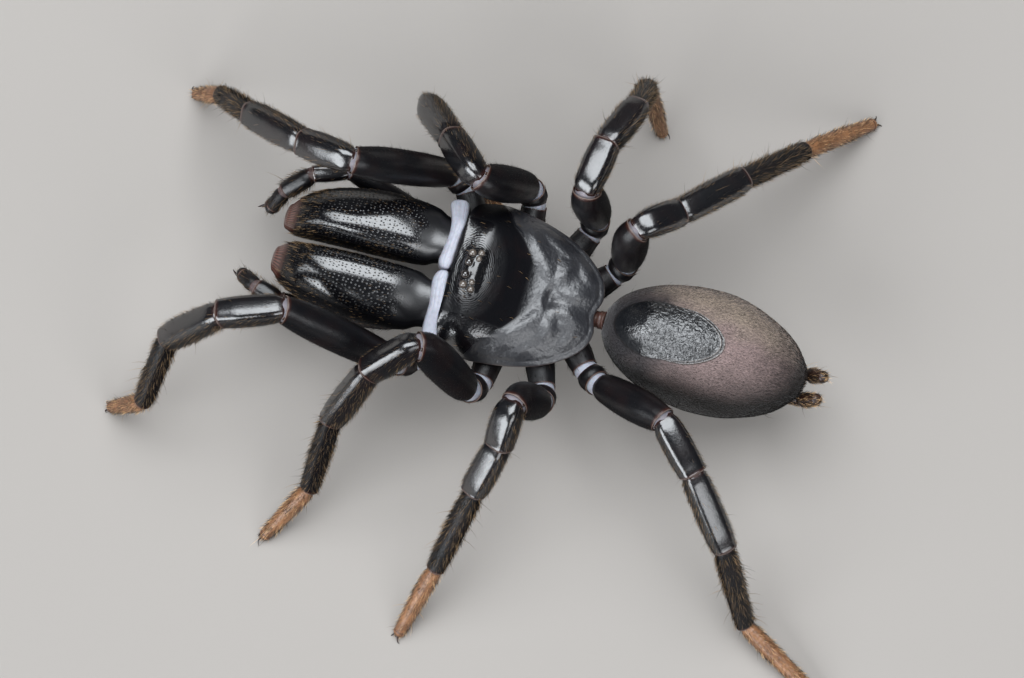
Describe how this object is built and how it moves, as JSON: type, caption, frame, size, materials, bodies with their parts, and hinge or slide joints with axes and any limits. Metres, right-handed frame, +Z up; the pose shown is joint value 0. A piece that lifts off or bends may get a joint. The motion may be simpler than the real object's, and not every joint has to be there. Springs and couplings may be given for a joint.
{
  "type": "purseweb spider",
  "caption": "Still life-size model of a male purseweb spider standing, with large forward chelicerae, long dark legs with tan feet and a mauve abdomen with a black plate.",
  "frame": {"origin": "on the ground under the middle of the spider's outline seen from above", "axes": "-X the way the spider faces, +Y its right side, +Z up; the ground is z = 0"},
  "size_m": [0.0182, 0.015, 0.005],
  "materials": {
    "carapace_chitin": "black chitin, glossy and finely wrinkled in front, satin and leathery behind",
    "leg_chitin": "black chitin with short dark hairs, glossy on top of the knees",
    "tarsus_chitin": "orange-brown chitin with fine pale hairs",
    "joint_membrane": "pale lavender soft skin with fine folds, satin",
    "abdomen_skin": "mauve-grey soft skin with short velvety hairs",
    "scutum_chitin": "black plate, glossy with fine wrinkles and a pale rim",
    "chelicera_chitin": "polished black chitin, pitted, with short golden hairs",
    "fang_chitin": "dark red-brown polished chitin",
    "eye_lens": "glassy domes, dark amber in the middle pair and pearly at the sides",
    "sternum_chitin": "brown satin chitin with sparse hairs",
    "bristle": "fine golden-brown and dark hairs"
  },
  "bodies": {
    "root": {"carapace": "carapace_chitin", "sternum": "sternum_chitin", "pedicel": "joint_membrane", "abdomen": "abdomen_skin", "scutum": "scutum_chitin", "cheliceral_membrane": "joint_membrane", "eye_median_right": "eye_lens", "eyes_right": "eye_lens", "spinneret_right": "abdomen_skin", "small_spinneret_right": "abdomen_skin", "chelicera_right": "chelicera_chitin", "fang_right": "fang_chitin", "palp_right_coxa": "leg_chitin", "palp_right_femur": "leg_chitin", "palp_right_tibia": "leg_chitin", "palp_right_tarsus": "leg_chitin", "leg_right_1_coxa": "leg_chitin", "leg_right_1_femur": "leg_chitin", "leg_right_1_tibia": "leg_chitin", "leg_right_1_tarsus": "tarsus_chitin", "leg_right_2_coxa": "leg_chitin", "leg_right_2_femur": "leg_chitin", "leg_right_2_tibia": "leg_chitin", "leg_right_2_tarsus": "tarsus_chitin", "leg_right_3_coxa": "leg_chitin", "leg_right_3_femur": "leg_chitin", "leg_right_3_tibia": "leg_chitin", "leg_right_3_tarsus": "tarsus_chitin", "leg_right_4_coxa": "leg_chitin", "leg_right_4_femur": "leg_chitin", "leg_right_4_tibia": "leg_chitin", "leg_right_4_tarsus": "tarsus_chitin", "eye_median_left": "eye_lens", "eyes_left": "eye_lens", "spinneret_left": "abdomen_skin", "small_spinneret_left": "abdomen_skin", "chelicera_left": "chelicera_chitin", "fang_left": "fang_chitin", "palp_left_coxa": "leg_chitin", "palp_left_femur": "leg_chitin", "palp_left_tibia": "leg_chitin", "palp_left_tarsus": "leg_chitin", "leg_left_1_coxa": "leg_chitin", "leg_left_1_femur": "leg_chitin", "leg_left_1_tibia": "leg_chitin", "leg_left_1_tarsus": "tarsus_chitin", "leg_left_2_coxa": "leg_chitin", "leg_left_2_femur": "leg_chitin", "leg_left_2_tibia": "leg_chitin", "leg_left_2_tarsus": "tarsus_chitin", "leg_left_3_coxa": "leg_chitin", "leg_left_3_femur": "leg_chitin", "leg_left_3_tibia": "leg_chitin", "leg_left_3_tarsus": "tarsus_chitin", "leg_left_4_coxa": "leg_chitin", "leg_left_4_femur": "leg_chitin", "leg_left_4_tibia": "leg_chitin", "leg_left_4_tarsus": "tarsus_chitin"}
  },
  "joints": []
}
